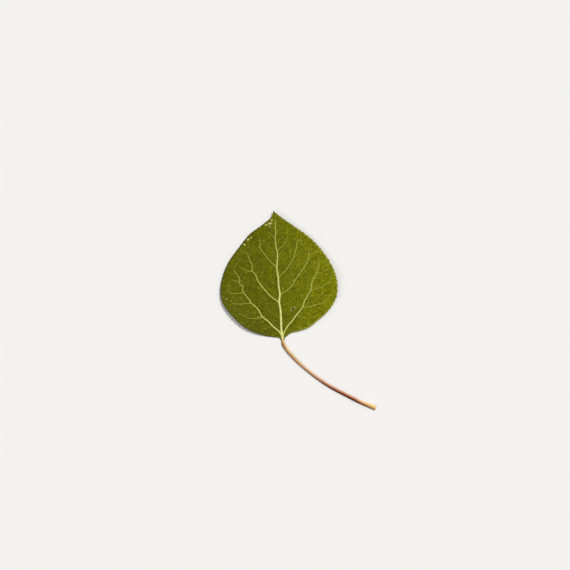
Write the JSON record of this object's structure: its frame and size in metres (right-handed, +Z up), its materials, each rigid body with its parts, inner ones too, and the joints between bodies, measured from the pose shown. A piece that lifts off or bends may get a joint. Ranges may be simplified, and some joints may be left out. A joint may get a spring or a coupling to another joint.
{
  "type": "pressed aspen leaf",
  "caption": "Pressed quaking aspen leaf, lying face up: a toothed, slightly waved olive green blade with pale raised veins, on a curved pinkish tan stalk.",
  "frame": {"origin": "on the surface that the leaf lies on, under the middle of the box round blade and stalk", "axes": "+Z up out of the leaf's upper face, +Y towards the blade's tip, +X to the right as seen from above"},
  "size_m": [0.0568, 0.0726, 0.0023],
  "materials": {
    "dried_blade": "dry leaf skin, faint waxy sheen over a fine net of veins",
    "dried_stalk": "dry fibrous skin, satin, finely grooved lengthwise"
  },
  "bodies": {
    "root": {"leaf_blade": "dried_blade", "leaf_stalk": "dried_stalk"}
  },
  "joints": []
}
